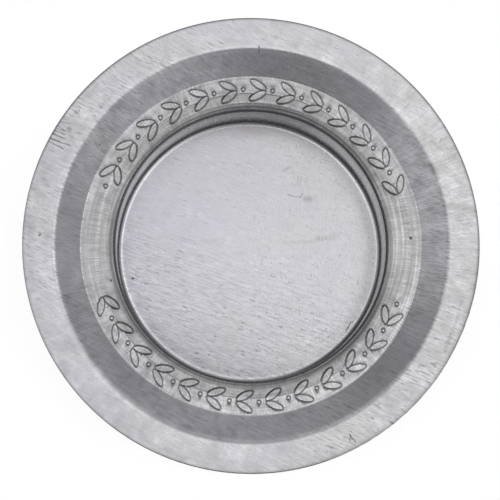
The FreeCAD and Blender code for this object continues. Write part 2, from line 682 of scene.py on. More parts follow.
@dataclass
class StampedBorder:
    """A border of leaf pairs and berries, in two arcs round the ring.

    Attributes:
        ring_height: Height of the ring that it is stamped in.
        middle_radius: Radius of the border's middle.
        arcs: Where each arc starts and ends, as directions.
        pairs: Number of leaf pairs in an arc.
        leaf_length: Length of a leaf, with its tips.
        leaf_width: Width of a leaf.
        leaf_tilt: Angle between a leaf and the border's run.
        leaf_offset: Distance from the border's middle to a leaf's middle.
        berry_width: Width of a berry.
        berry_lead: How far the berry lies ahead of its leaf pair.
        relief: Height of the pads above the ring.
        wall: Width of the sloping wall round a pad.
        wall_height: Height of the sloping wall.
        shoulder: Width of the rounded shoulder inside the wall.
        crown: How far a pad's middle rises above its shoulder.
        skirt: Height of the part of a pad that lies inside the sheet.
        corners: Number of corners round a pad.
        tip_reach: How far a leaf's two tips are drawn out, as a share of its length.
        tip_zone: Share of a pad's length beyond which its points belong to a tip.
        poke_reach: Distance from a pad's middle within which a point is the middle one.
    """

    ring_height: float
    middle_radius: float = 23.4 * MM
    arcs: tuple[tuple[float, float], ...] = (
        (math.radians(17), math.radians(158)),
        (math.radians(197), math.radians(338)),
    )
    pairs: int = 13
    leaf_length: float = 2.9 * MM
    leaf_width: float = 1.45 * MM
    leaf_tilt: float = math.radians(30)
    leaf_offset: float = 0.82 * MM
    berry_width: float = 1.0 * MM
    berry_lead: float = 2.2 * MM
    relief: float = 0.1 * MM
    wall: float = 0.26 * MM
    wall_height: float = 0.1 * MM
    shoulder: float = 0.05 * MM
    crown: float = 0.02 * MM
    skirt: float = 0.12 * MM
    corners: int = 16
    tip_reach: float = 1.12
    tip_zone: float = 0.49
    poke_reach: float = 0.01 * MM

    def build(self) -> bpy.types.Object:
        """Builds the whole border as one mesh of separate pads."""
        unit = self._unit()
        copies = []
        for start, end in self.arcs:
            for index in range(self.pairs):
                turn = start + (end - start) * (index + 0.5) / self.pairs
                copies.append(self._placed_copy(unit, turn))
        bpy.data.objects.remove(unit)
        border = join(copies)
        border.name = "leaf_border"
        LOG.info("%s: %d units", border.name, len(copies))
        return border

    def _placed_copy(self, unit: bpy.types.Object, turn: float) -> bpy.types.Object:
        """A copy of the unit at its place on the ring.

        Args:
            unit: The unit, on the +X side of the axis.
            turn: Direction of the copy's place.

        Returns:
            The copy, with its place in its own mesh.
        """
        select_only(unit)
        bpy.ops.object.duplicate(linked=False)
        copy = bpy.context.object
        copy.rotation_euler.z = turn
        bpy.ops.object.transform_apply(location=False, rotation=True, scale=False)
        return copy

    def _unit(self) -> bpy.types.Object:
        """One pair of leaves with a berry ahead of it, on the +X side of the axis."""
        leaf = (self.leaf_length, self.leaf_width, self.tip_reach)
        berry = (self.berry_width, self.berry_width, 1.0)
        placed = (
            (leaf, self.leaf_offset, 0.0, -self.leaf_tilt),
            (leaf, -self.leaf_offset, 0.0, self.leaf_tilt),
            (berry, 0.0, self.berry_lead, 0.0),
        )
        pads = []
        for size, outward, ahead, tilt in placed:
            pad = self._pad(*size)
            pad.location = (self.middle_radius + outward, ahead, self.ring_height)
            pad.rotation_euler.z = QUARTER_TURN + tilt
            bpy.ops.object.transform_apply(location=True, rotation=True, scale=False)
            pads.append(pad)
        return join(pads)

    def _pad(self, length: float, width: float, reach: float) -> bpy.types.Object:
        """One raised pad, lying along X, with its top at the relief's height.

        Args:
            length: Length before the tips are drawn out.
            width: Width.
            reach: How far the two tips are drawn out, as a share of the length.

        Returns:
            The pad, as a closed mesh.
        """
        clear_selection()
        bpy.ops.mesh.primitive_circle_add(vertices=self.corners, radius=0.5, fill_type="NGON")
        pad = bpy.context.object
        pad.scale = (length, width, 1)
        bpy.ops.object.transform_apply(location=False, rotation=False, scale=True)
        for vertex in pad.data.vertices:
            vertex.select = abs(vertex.co.x) > length * self.tip_zone
        bpy.ops.object.mode_set(mode="EDIT")
        bpy.ops.mesh.select_mode(type="VERT")
        bpy.ops.transform.resize(value=(reach, 1, 1), center_override=(0, 0, 0))
        bpy.ops.mesh.select_all(action="SELECT")
        bpy.ops.mesh.normals_make_consistent(inside=False)
        base = self.relief - self.wall_height - self.shoulder / 2 - self.skirt
        bpy.ops.transform.translate(value=(0, 0, base))
        bpy.ops.mesh.extrude_region_move(TRANSFORM_OT_translate={"value": (0, 0, self.skirt)})
        bpy.ops.mesh.inset(thickness=self.wall, depth=self.wall_height)
        bpy.ops.mesh.inset(thickness=self.shoulder, depth=self.shoulder / 2)
        bpy.ops.mesh.poke()
        bpy.ops.object.mode_set(mode="OBJECT")
        for vertex in pad.data.vertices:
            on_axis = math.hypot(vertex.co.x, vertex.co.y) < self.poke_reach
            vertex.select = on_axis and vertex.co.z > base + self.skirt
        bpy.ops.object.mode_set(mode="EDIT")
        bpy.ops.transform.translate(value=(0, 0, self.crown))
        bpy.ops.mesh.select_all(action="SELECT")
        bpy.ops.mesh.normals_make_consistent(inside=False)
        bpy.ops.object.mode_set(mode="OBJECT")
        return pad


@dataclass(frozen=True)
class SkyBand:
    """Brightness of the studio's sky at one angle from straight up.

    Attributes:
        zenith: Angle from straight up, in degrees.
        brightness: Brightness there.
    """

    zenith: float
    brightness: float


@dataclass(frozen=True)
class SoftPatch:
    """One soft light patch of the studio's sky, brightest in its middle.

    Attributes:
        azimuth: Direction round the vertical in degrees, counterclockwise from +X.
        zenith: Angle from straight up, in degrees.
        reach: Angle from the patch's middle to where it has faded away, in degrees.
        strength: Brightness of its middle.
    """

    azimuth: float
    zenith: float
    reach: float
    strength: float

    def direction(self) -> Vector:
        """Unit vector towards the patch's middle."""
        azimuth = math.radians(self.azimuth)
        zenith = math.radians(self.zenith)
        level = math.sin(zenith)
        return Vector((level * math.cos(azimuth), level * math.sin(azimuth), math.cos(zenith)))


@dataclass(frozen=True)
class Studio:
    """White floor and a soft studio sky.

    Attributes:
        floor_size: Side of the square floor.
        floor_tone: Tone of the floor.
        floor_glow: Brightness that the floor adds to its own shading where it is seen.
        bands: The sky's brightness from straight up down to the horizon.
        patches: The soft patches that the sky has besides.
    """

    floor_size: float = 6.0
    floor_tone: float = 0.8
    floor_glow: float = 0.7
    bands: tuple[SkyBand, ...] = (
        SkyBand(0, 0.62),
        SkyBand(5, 0.15),
        SkyBand(10, 0.0),
        SkyBand(16, 0.0),
        SkyBand(24, 0.18),
        SkyBand(33, 0.34),
        SkyBand(42, 0.16),
        SkyBand(51, 0.13),
        SkyBand(60, 0.03),
        SkyBand(72, 0.15),
        SkyBand(81, 0.51),
        SkyBand(90, 0.73),
    )
    patches: tuple[SoftPatch, ...] = (
        SoftPatch(azimuth=0, zenith=15, reach=18, strength=1.46),
        SoftPatch(azimuth=60, zenith=15, reach=18, strength=0.16),
        SoftPatch(azimuth=120, zenith=15, reach=18, strength=0.58),
        SoftPatch(azimuth=180, zenith=15, reach=18, strength=1.25),
        SoftPatch(azimuth=0, zenith=42, reach=30, strength=0.09),
        SoftPatch(azimuth=45, zenith=42, reach=30, strength=0.17),
        SoftPatch(azimuth=90, zenith=42, reach=30, strength=0.24),
        SoftPatch(azimuth=180, zenith=42, reach=30, strength=0.29),
        SoftPatch(azimuth=225, zenith=42, reach=30, strength=0.09),
        SoftPatch(azimuth=315, zenith=42, reach=30, strength=0.36),
        SoftPatch(azimuth=0, zenith=75, reach=36, strength=0.31),
        SoftPatch(azimuth=180, zenith=75, reach=36, strength=0.2),
    )

    def build(self) -> None:
        """Makes the floor and the sky."""
        self._floor()
        self._sky()

    def _floor(self) -> None:
        """Lays the floor that the lid stands on."""
        clear_selection()
        bpy.ops.mesh.primitive_plane_add(size=self.floor_size, location=(0, 0, 0))
        floor = bpy.context.object
        floor.name = "floor"
        material = bpy.data.materials.new("floor_white")
        material.use_nodes = True
        desk = NodeDesk(material.node_tree)
        desk.nodes.clear()
        path = desk.add("ShaderNodeLightPath")
        seen = desk.calc("MAXIMUM", path.outputs["Is Camera Ray"], path.outputs["Is Glossy Ray"])
        glow = desk.add(
            "ShaderNodeEmission", {"Strength": desk.calc("MULTIPLY", seen, self.floor_glow)}
        )
        tone = (self.floor_tone,) * 3 + (1,)
        diffuse = desk.add("ShaderNodeBsdfDiffuse", {"Color": tone})
        both = desk.add("ShaderNodeAddShader", {0: diffuse.outputs[0], 1: glow.outputs[0]})
        desk.add("ShaderNodeOutputMaterial", {"Surface": both.outputs[0]})
        floor.data.materials.append(material)

    def _sky(self) -> None:
        """Makes the sky, which the camera itself sees as plain white."""
        world = bpy.data.worlds.new("studio_sky")
        bpy.context.scene.world = world
        world.use_nodes = True
        desk = NodeDesk(world.node_tree)
        desk.nodes.clear()
        direction = desk.add("ShaderNodeTexCoord").outputs["Generated"]
        height = desk.parts(direction)["Z"]
        zenith = desk.calc("DIVIDE", desk.calc("ARCCOSINE", height), QUARTER_TURN)
        ramp = desk.add("ShaderNodeValToRGB", {0: zenith})
        stops = ramp.color_ramp.elements
        stops.remove(stops[-1])
        horizon = self.bands[-1].zenith
        brightest = max(band.brightness for band in self.bands)
        for index, band in enumerate(self.bands):
            stop = stops[0] if index == 0 else stops.new(band.zenith / horizon)
            stop.position = band.zenith / horizon
            stop.color = (band.brightness / brightest,) * 3 + (1,)
        light = desk.calc("MULTIPLY", ramp.outputs["Color"], brightest)
        for patch in self.patches:
            towards = desk.calc_vector("DOT_PRODUCT", direction, patch.direction())
            edge = math.cos(math.radians(patch.reach))
            light = desk.calc("ADD", light, desk.fade(towards, edge, 1.0, 0.0, patch.strength))
        path = desk.add("ShaderNodeLightPath")
        seen = desk.mix(path.outputs["Is Camera Ray"], light, 1.0)
        background = desk.add("ShaderNodeBackground", {"Strength": seen})
        desk.add("ShaderNodeOutputWorld", {"Surface": background.outputs[0]})


@dataclass(frozen=True)
class PhotoCamera:
    """Camera at the photograph's viewpoint: overhead, a little towards the bottom left.

    Attributes:
        height: Height of the camera above the flange.
        foot: Point below the camera, in X and Y.
        aim: Point of the flange's plane at the middle of the picture.
        outline_pixels: Radius of the lid's outline in the 500 pixel picture.
        picture_pixels: Width of the picture.
        sensor: Width of the camera's sensor, in millimetres.
        nearest: Distance from which it sees.
        farthest: Distance up to which it sees.
    """

    height: float = 380 * MM
    foot: tuple[float, float] = (-9.7 * MM, -32.0 * MM)
    aim: tuple[float, float] = (-0.21 * MM, -0.86 * MM)
    outline_pixels: float = 229.08
    picture_pixels: float = 500
    sensor: float = 36
    nearest: float = 10 * MM
    farthest: float = 20.0

    def build(self, form: SheetForm) -> None:
        """Makes the camera and sets it as the scene's.

        Args:
            form: Sizes of the lid that it looks at.
        """
        target = Vector((*self.aim, form.overall_height))
        place = Vector((*self.foot, form.overall_height + self.height))
        sight = target - place
        data = bpy.data.cameras.new("photo_camera")
        data.sensor_width = self.sensor
        pixels_per_unit = self.outline_pixels / form.rim_radius * sight.length
        data.lens = self.sensor * pixels_per_unit / self.picture_pixels
        data.clip_start = self.nearest
        data.clip_end = self.farthest
        camera = bpy.data.objects.new("photo_camera", data)
        bpy.context.scene.collection.objects.link(camera)
        picture_up = Vector((0, 1, 0))
        backward = -sight.normalized()
        rightward = picture_up.cross(backward).normalized()
        upward = backward.cross(rightward)
        turned = Matrix((rightward, upward, backward)).transposed()
        camera.location = place
        camera.rotation_mode = "QUATERNION"
        camera.rotation_quaternion = turned.to_quaternion()
        bpy.context.scene.camera = camera


class MarkKind(Enum):
    """Kinds of marks on the steel."""

    PIT = "pit"
    SCRATCH = "scratch"
    STAIN = "stain"


# How soft the edge of each kind's stroke is, as a share of half its width
MARK_SOFTNESS = {MarkKind.PIT: 0.45, MarkKind.SCRATCH: 0.45, MarkKind.STAIN: 1.0}


@dataclass(frozen=True)
class Mark:
    """One mark on the lid's upper side, as a stroke between two points.

    Attributes:
        kind: Kind of mark.
        start: X and Y of the stroke's start, in millimetres.
        end: X and Y of the stroke's end, in millimetres.
        width: Width of the stroke, in millimetres.
        depth: How much darker it is, as a share.
    """

    kind: MarkKind
    start: tuple[float, float]
    end: tuple[float, float]
    width: float
    depth: float


def pit(x: float, y: float, width: float, depth: float) -> Mark:
    """A small round pit."""
    return Mark(MarkKind.PIT, (x, y), (x, y), width, depth)


def scratch(
    start: tuple[float, float], end: tuple[float, float], width: float, depth: float
) -> Mark:
    """A short thin scratch."""
    return Mark(MarkKind.SCRATCH, start, end, width, depth)


def stain(start: tuple[float, float], end: tuple[float, float], width: float, depth: float) -> Mark:
    """A faint brownish stain."""
    return Mark(MarkKind.STAIN, start, end, width, depth)


FLOOR_MARKS = (
    pit(-17.95, -4.18, 0.32, 0.6),
    scratch((15.7, -10.9), (15.2, -11.75), 0.17, 0.45),
    scratch((15.2, -11.75), (14.9, -12.3), 0.17, 0.45),
    scratch((15.7, -10.9), (16.0, -10.8), 0.17, 0.35),
    scratch((6.0, 8.85), (6.7, 8.62), 0.2, 0.2),
    scratch((6.7, 8.62), (7.9, 8.5), 0.18, 0.17),
    scratch((7.9, 8.5), (8.25, 9.0), 0.22, 0.24),
    scratch((5.4, 12.6), (6.3, 13.15), 0.42, 0.13),
    scratch((7.6, 11.6), (7.45, 10.2), 0.3, 0.1),
    scratch((8.0, 11.5), (7.85, 10.3), 0.2, 0.12),
    scratch((9.0, 11.3), (8.5, 10.5), 0.2, 0.1),
    scratch((8.7, 8.25), (9.4, 8.2), 0.7, 0.1),
    scratch((10.3, 8.9), (10.4, 7.6), 0.3, 0.06),
    scratch((13.4, 10.9), (14.9, 9.7), 0.5, 0.05),
    stain((10.4, 2.0), (13.3, 2.35), 0.65, 0.05),
    stain((5.4, 1.45), (10.4, 1.6), 0.4, 0.04),
    stain((-10.6, 2.0), (-7.4, 1.5), 0.35, 0.03),
    stain((-7.4, 1.5), (-5.2, 1.7), 0.6, 0.035),
    stain((-5.2, 1.7), (-3.4, 2.6), 0.4, 0.02),
    stain((8.9, 8.15), (9.4, 8.2), 0.9, 0.05),
    stain((-2.2, 18.3), (2.4, 18.5), 1.6, 0.03),
    stain((-0.4, 18.9), (1.6, 18.5), 0.9, 0.03),
)
RING_MARKS = (
    pit(23.93, 1.1, 0.42, 0.75),
    pit(-20.95, -5.34, 0.34, 0.55),
    pit(-21.35, -5.1, 0.22, 0.35),
    pit(-22.68, 15.0, 0.3, 0.5),
    scratch((24.6, 12.2), (25.3, 13.1), 0.9, 0.08),
)
FLANGE_MARKS = (
    scratch((1.15, 29.9), (1.15, 28.95), 0.2, 0.5),
    pit(-31.53, 1.35, 0.36, 0.35),
    scratch((-31.8, 1.25), (-31.3, 1.45), 0.2, 0.15),
    scratch((14.5, -28.2), (15.4, -29.4), 0.18, 0.5),
    scratch((14.7, -28.4), (14.6, -29.3), 0.14, 0.35),
    scratch((27.0, 15.6), (28.6, 14.2), 0.5, 0.1),
    scratch((28.6, 11.9), (31.4, 9.4), 0.9, 0.07),
    stain((29.0, 5.9), (33.4, 5.0), 0.8, 0.08),
    stain((0.9, 31.8), (1.7, 31.2), 1.2, 0.06),
    scratch((-30.5, 15.5), (-28.1, 14.27), 0.19, 0.38),
    scratch((-30.3, 15.9), (-27.1, 14.75), 0.19, 0.42),
    scratch((-29.8, 16.6), (-27.8, 15.7), 0.2, 0.42),
    scratch((-29.5, 16.95), (-27.8, 16.4), 0.17, 0.34),
    scratch((-29.1, 17.85), (-27.9, 17.05), 0.17, 0.3),
    scratch((-29.3, 17.4), (-28.2, 16.8), 0.15, 0.25),
    scratch((-28.5, 18.35), (-27.2, 18.0), 0.17, 0.26),
    scratch((-28.2, 18.9), (-27.5, 18.6), 0.15, 0.2),
    scratch((-27.2, 20.3), (-25.9, 19.7), 0.16, 0.18),
    pit(-27.25, 17.2, 0.8, 0.24),
    pit(-25.75, 20.05, 0.26, 0.4),
    stain((-25.6, 17.1), (-24.7, 15.8), 1.1, 0.035),
    # These three wide faint strokes are painted shade: the darker inner side of a shallow crease in
    # the flange
    scratch((31.3, -8.3), (30.7, -11.0), 0.45, 0.07),
    scratch((30.7, -11.0), (29.7, -13.4), 0.45, 0.09),
    scratch((29.7, -13.4), (28.8, -15.9), 0.5, 0.11),
    scratch((28.5, 16.05), (28.25, 15.3), 0.16, 0.2),
    scratch((29.1, 14.4), (30.5, 14.55), 0.14, 0.12),
    stain((27.2, 11.8), (27.8, 10.2), 0.9, 0.07),
)


@dataclass(frozen=True)
class Band:
    """A narrow band round the lid's axis, brighter or darker than the steel beside it: a painted
    highlight when brighter, painted shade when darker.

    Attributes:
        radius: Distance of its middle from the axis, in millimetres.
        height: Height of its middle, in millimetres.
        width: Its width, in millimetres.
        gain: How much brighter it is, as a share. Below zero it is darker.
        towards: Direction in which it shows most, in degrees.
        spread: Angle to each side of that direction at which it has half gone, in degrees.
    """

    radius: float
    height: float
    width: float
    gain: float
    towards: float = 0.0
    spread: float = 360.0

    def bound(self) -> float:
        """Cosine of the band's spread, or less than any cosine if it goes all the way round."""
        return math.cos(math.radians(self.spread)) if self.spread < 180 else ALL_ROUND


@dataclass(frozen=True)
class SteelFinish:
    """Finish of rolled sheet steel that was drawn over the press tool, with painted light and shade
    laid into its colour.

    Attributes:
        form: Sizes of the sheet.
        cool: Colour of the steel where it is bluish.
        neutral: Colour of the steel where it is plain grey.
        brown: Tint of the stains.
        rolling: Direction of the rolling lines on the floor.
        drawing: Direction of the lines on the step and the flange.
        relief: Height of the surface's lines.
        pit_depth: Depth of a pit, as a multiple of the relief.
        roughness: Roughness of clean steel.
        grain_roughness: What the grain adds to the roughness.
        mark_roughness: What a dark mark adds to the roughness.
        stain_roughness: What a stain adds to the roughness.
        upward_fade: Share of a face's normal, to each side of level, over which the upper side's
            mask fades in.
        arc_fade: Sines of the angles from X between which the mask of the border's arcs fades in.
        edge_shade: How much darker painted shade makes the stamped edges.
        edge_shade_fade: Cosines of the slopes between which the edges' painted shade fades out.
        drift: How far the steel's colour drifts.
        drift_count: Number of the drift's clouds in a millimetre.
        darkest: Least brightness that the painted light bands leave, as a share.
        darkest_mark: Most that marks darken the steel, as a share.
        stain_strength: How much stronger the stains' tint is than their depth.
        deepest_stain: Most that the steel is tinted, as a share.
        waver: How far scratches and stains stray from their strokes, in millimetres.
        waver_count: Number of their bends in a millimetre.
        marks: Pits, scratches and stains.
    """

    form: SheetForm
    cool: tuple[float, ...] = (0.605, 0.598, 0.65, 1)
    neutral: tuple[float, ...] = (0.608, 0.601, 0.605, 1)
    brown: tuple[float, ...] = (0.52, 0.47, 0.42, 1)
    rolling: float = math.radians(-19)
    drawing: float = math.radians(-27)
    relief: float = 0.006 * MM
    pit_depth: float = 3.0
    roughness: float = 0.27
    grain_roughness: float = -0.3
    mark_roughness: float = 0.3
    stain_roughness: float = 0.4
    upward_fade: float = 0.1
    arc_fade: tuple[float, float] = (0.18, 0.38)
    edge_shade: float = 0.22
    edge_shade_fade: tuple[float, float] = (0.94, 0.97)
    drift: float = 0.4
    drift_count: float = 0.11
    darkest: float = 0.05
    darkest_mark: float = 0.85
    stain_strength: float = 3.0
    deepest_stain: float = 0.8
    waver: float = 0.35
    waver_count: float = 2.2
    marks: tuple[Mark, ...] = FLOOR_MARKS + RING_MARKS + FLANGE_MARKS

    def build(self) -> bpy.types.Material:
        """Builds the steel's material."""
        material = bpy.data.materials.new("rolled_steel")
        material.use_nodes = True
        SteelPainter(material.node_tree, self).paint()
        return material


class SteelPainter(NodeDesk):
    """Lays the nodes of the steel's material.

    Attributes:
        finish: The finish that it lays.
        form: Sizes of the sheet.
        place: Place on the lid, in millimetres.
        radius: Distance from the axis, in millimetres.
        height: Height, in millimetres.
        spoke: Unit vector away from the axis.
        rightness: The spoke's X.
        upness: The spoke's Y.
        facing: How far the face looks up, from -1 to 1.
        upward: Mask of the faces that look up.
        inward: How far the surface faces the axis, from -1 to 1.
        stamped: Mask of the two arcs of the ring that hold the border.
        zones: Masks of the lid's zones.
    """

    def __init__(self, tree: bpy.types.NodeTree, finish: SteelFinish) -> None:
        """Starts work on the material.

        Args:
            tree: The material's node tree.
            finish: The finish to lay.
        """
        super().__init__(tree)
        self.finish = finish
        self.form = finish.form
        self._band_tree = self._band_group()
        self._spoke_tree = self._spoke_group()
        self._line_tree = self._line_group()
        self._stroke_tree = self._stroke_group()
        self.place = self.scale(self.add("ShaderNodeTexCoord").outputs["Object"], 1 / MM)
        polar = self.group(self._polar_group(), {"Place": self.place})
        self.radius, self.height, self.spoke = polar["Radius"], polar["Height"], polar["Spoke"]
        spoke = self.parts(self.spoke)
        self.rightness, self.upness = spoke["X"], spoke["Y"]
        normal = self.add("ShaderNodeNewGeometry").outputs["True Normal"]
        outwards = self.calc_vector("DOT_PRODUCT", normal, self.spoke)
        self.facing = self.parts(normal)["Z"]
        self.upward = self.fade(self.facing, -finish.upward_fade, finish.upward_fade)
        self.inward = self.calc("MULTIPLY", outwards, -1.0)
        self.stamped = self.fade(self.calc("ABSOLUTE", self.upness), *finish.arc_fade)
        self.zones = self._zones()

    def paint(self) -> None:
        """Lays the whole finish and feeds the material's shader."""
        finish = self.finish
        grain, lines = self._grain()
        dark, hollow, stained = self._marks()
        bands = self.total(1.0, self._painted_light_bands())
        # The steel's brightness: painted light and shade by zone and in bands, grain, marks, and
        # painted shade on the stamped edges
        shade = self.product(
            self._painted_zone_light(),
            self.calc("MAXIMUM", bands, finish.darkest),
            self.total(1.0, grain),
            self.calc("SUBTRACT", 1.0, dark),
            self.calc("SUBTRACT", 1.0, self._painted_edge_shade()),
        )
        metal = self.mix_colour(self._coolness(), finish.neutral, finish.cool)
        colour = self.mix_colour(stained, metal, finish.brown)
        roughness = self.weigh(
            (finish.roughness,),
            (grain, finish.grain_roughness),
            (dark, finish.mark_roughness),
            (stained, finish.stain_roughness),
        )
        height = self.weigh((lines,), (hollow, -finish.pit_depth))
        feeds = {"Height": height, "Strength": 1.0, "Distance": finish.relief}
        looks = {
            "Base Color": self.scale(colour, shade),
            "Roughness": roughness,
            "Normal": self.add("ShaderNodeBump", feeds).outputs["Normal"],
            "Metallic": 1.0,
        }
        shader = self.nodes["Principled BSDF"]
        for name, value in looks.items():
            self.feed(shader.inputs[name], value)

    def ahead(self, degrees: float) -> bpy.types.NodeSocket:
        """How far a point lies towards a direction from the axis, from -1 to 1."""
        return self.calc_vector("DOT_PRODUCT", self.spoke, level_direction(degrees))

    def towards(self, degrees: float, reach: float) -> bpy.types.NodeSocket:
        """A mask that fades in round the lid towards one direction.

        Args:
            degrees: Direction in which the mask is full, from X.
            reach: Cosine of the angle to that direction at which the mask begins.

        Returns:
            The mask.
        """
        return self.fade(self.ahead(degrees), reach, 1.0)

    def band(self, band: Band) -> bpy.types.NodeSocket:
        """How much brighter one band makes the steel, as a share."""
        feeds = {
            "Radius": self.radius,
            "Height": self.height,
            "Spoke": self.spoke,
            "Middle": (band.radius, band.height, 0),
            "Width": band.width,
            "Towards": level_direction(band.towards),
            "Spread": band.bound(),
        }
        return self.product(self.group(self._band_tree, feeds)["Mask"], band.gain)

    def spokes(self, count: float, stretch: float) -> bpy.types.NodeSocket:
        """Short lines away from the axis.

        Args:
            count: Number of lines in a radian.
            stretch: Number of lines in a millimetre of radius.

        Returns:
            Their strength, about zero.
        """
        feeds = {"Spoke": self.spoke, "Radius": self.radius, "Count": count, "Stretch": stretch}
        return self.group(self._spoke_tree, feeds)["Value"]

    def lines(self, turn: float, across: float, along: float) -> bpy.types.NodeSocket:
        """Straight lines across the sheet.

        Args:
            turn: Direction of the lines.
            across: Number of lines in a millimetre.
            along: Number of lines in a millimetre of their length.

        Returns:
            Their strength, about zero.
        """
        feeds = {"Place": self.place, "Turn": turn, "Across": across, "Along": along}
        return self.group(self._line_tree, feeds)["Value"]

    def stroke(self, place: bpy.types.NodeSocket, mark: Mark) -> bpy.types.NodeSocket:
        """One mark, as a stroke between its two points.

        Args:
            place: Place on the lid, in millimetres.
            mark: The mark.

        Returns:
            How much darker the mark makes the steel, as a share.
        """
        feeds = {
            "Place": place,
            "Start": (*mark.start, 0),
            "End": (*mark.end, 0),
            "Width": mark.width,
            "Soft": MARK_SOFTNESS[mark.kind],
        }
        return self.product(self.group(self._stroke_tree, feeds)["Mask"], mark.depth)

    def _zones(self) -> dict[str, bpy.types.NodeSocket]:
        """Masks of the lid's zones, by their distance from the axis in millimetres."""
        form = self.form
        well, mouth = form.well_radius / MM, (form.well_radius + form.mouth_bend) / MM
        crease, ring = form.crease_radius / MM, form.ring_radius / MM
        top, rim = form.step_top_radius / MM, form.rim_radius / MM
        # Where each zone starts and ends, and over how much it fades
        bounds = {
            "floor": (-1.0, well - 0.4, 0.6),
            "wall": (well - 0.4, well + 0.15, 0.3),
            "mouth": (well + 0.15, mouth - 0.35, 0.4),
            "inner_ring": (mouth - 0.35, crease, 0.4),
            "outer_ring": (crease, ring, 0.4),
            "step": (ring, top, 0.4),
            "flange": (top, rim + 1.0, 0.4),
        }
        return {name: self.between(self.radius, *bound) for name, bound in bounds.items()}

    def _by_zone(self, values: dict[str, object]) -> bpy.types.NodeSocket:
        """The value of the zone that a point is in."""
        return self.weigh(*((self.zones[name], value) for name, value in values.items()))

    def _painted_zone_light(self) -> bpy.types.NodeSocket:
        """Painted light and shade from zone to zone: each zone's brightness, with brighter and
        darker sides round the axis.

        Returns:
            The painted light and shade, as a factor.
        """
        radius, right, up = self.radius, self.rightness, self.upness
        # Distance towards the lower left, where painted shade darkens the floor's edge
        below = self.product(radius, self.weigh((right, -0.26), (up, -0.97)))
        # Painted shade: the wall darkens towards its mouth, and its face turned away from the axis
        # is darker
        painted_wall_shade = self.fade(self.height, 6.5, 11.0, 1.16, 0.72)
        # Painted light and shade: each zone's level, with brighter and darker sides round the axis
        zone_light = {
            "floor": self.weigh(
                (self.fade(radius, 3.0, 14.0, 1.245, 1.19),),
                (right, radius, 0.0036),
                (self.fade(below, 10.0, 19.0), -0.2),
            ),
            "wall": self.product(painted_wall_shade, self.fade(self.inward, -0.3, 0.0, 0.6, 1.0)),
            "mouth": self.mix(self.stamped, 1.14, self.weigh((1.15,), (up, 0.2))),
            "inner_ring": self.mix(self.stamped, self.weigh((0.96,), (right, 0.09)), 0.76),
            "outer_ring": self.mix(self.stamped, 0.85, 0.96),
            "step": self.weigh(
                (1.165,),
                (self.towards(150, 0.85), -0.13),
                (self.towards(60, 0.9), -0.07),
                (self.towards(245, 0.9), -0.05),
            ),
            "flange": self.weigh(
                (1.13,), (right, 0.04), (up, 0.08), (up, up, 0.14), (right, up, 0.05)
            ),
        }
        return self._by_zone(zone_light)

    def _coolness(self) -> bpy.types.NodeSocket:
        """How bluish the steel is.

        Returns:
            The share of the cool colour.
        """
        shares = {
            "floor": self.weigh((0.7,), (self.radius, self.rightness, -0.018)),
            "wall": 0.2,
            "mouth": 0.2,
            "inner_ring": 0.2,
            "outer_ring": 0.3,
            "step": 0.9,
            "flange": self.weigh((0.45,), (self.rightness, -0.25)),
        }
        clouds = self.noise(self.place, self.finish.drift_count)
        drift = self.product(clouds, self.finish.drift)
        return self.clamp(self.total(self._by_zone(shares), drift))

    def _painted_light_bands(self) -> bpy.types.NodeSocket:
        """Painted shade in the corners and bends, and painted highlights along the edges, as bands
        round the axis.

        Returns:
            How much brighter the painted light makes the steel, as a share.
        """
        form = self.form
        well, top = form.well_radius / MM, form.overall_height / MM
        floor, mouth = form.thickness / MM, (form.ring_height - form.crease_drop) / MM
        ring, level = form.ring_radius / MM, form.ring_height / MM
        shoulder, rim = form.step_top_radius / MM, form.rim_radius / MM
        # Bands with a gain below zero are painted shade, and those above zero are painted
        # highlights
        bands = (
            Band(well - 0.07, floor + 0.3, 0.42, -0.5),
            Band(well - 0.14, floor + 0.25, 0.35, -0.25, 15, 32),
            Band(well + 0.05, mouth - 1.2, 0.85, -0.6),
            Band(well - 0.3, mouth - 2.2, 2.0, -0.95, 4, 34),
            Band(well + 0.1, mouth - 1.0, 0.45, -0.4, 0, 26),
            Band(well - 0.42, floor + 0.06, 0.34, 0.36, 200, 95),
            Band(well - 0.6, floor, 0.55, 0.2, 245, 58),
            Band(well - 0.45, floor + 0.05, 0.3, 0.4, 116, 30),
            Band(well + 0.3, level - 0.6, 0.4, -0.25, 175, 30),
            Band(well, 7.5, 5.0, -0.75, -3, 28),
            Band(rim - 0.06, top - 0.05, 0.46, -0.3),
            Band(rim - 0.06, top - 0.05, 0.46, -0.22, 60, 95),
            Band(rim - 0.3, top, 0.7, -0.2, -45, 35),
            Band(rim - 0.8, top, 1.6, -0.08, 215, 75),
            Band(well - 0.66, floor, 0.32, 0.34, 200, 75),
            Band(well - 0.66, floor, 0.28, 0.6, 55, 28),
            Band(well - 1.5, floor, 1.4, -0.16, 0, 35),
            Band(well - 1.5, floor, 1.4, -0.12, 250, 28),
            Band(ring - 0.45, level, 0.45, 0.22, -50, 55),
            Band(shoulder + 0.55, top, 0.35, 0.07, 190, 70),
            Band(shoulder + 0.65, top, 0.35, 0.12, 45, 12),
            Band(shoulder - 0.08, top, 0.48, -0.5, -3, 40),
            Band(shoulder - 0.4, top, 0.5, 0.24, 88, 28),
            Band(shoulder - 0.3, top, 0.6, 0.12, -110, 70),
            Band(shoulder + 0.08, top, 0.42, -0.26, -80, 38),
            Band(ring + 0.1, level, 0.3, -0.12, 0, 75),
            Band(well + 0.6, level - 0.1, 0.4, 0.5, -55, 75),
            Band(well + 1.2, level, 0.35, -0.24, 0, 60),
            Band(well + 1.2, level, 0.3, -0.14, 180, 60),
        )
        gain = self.total(*(self.band(band) for band in bands))
        return self.product(gain, self.upward)

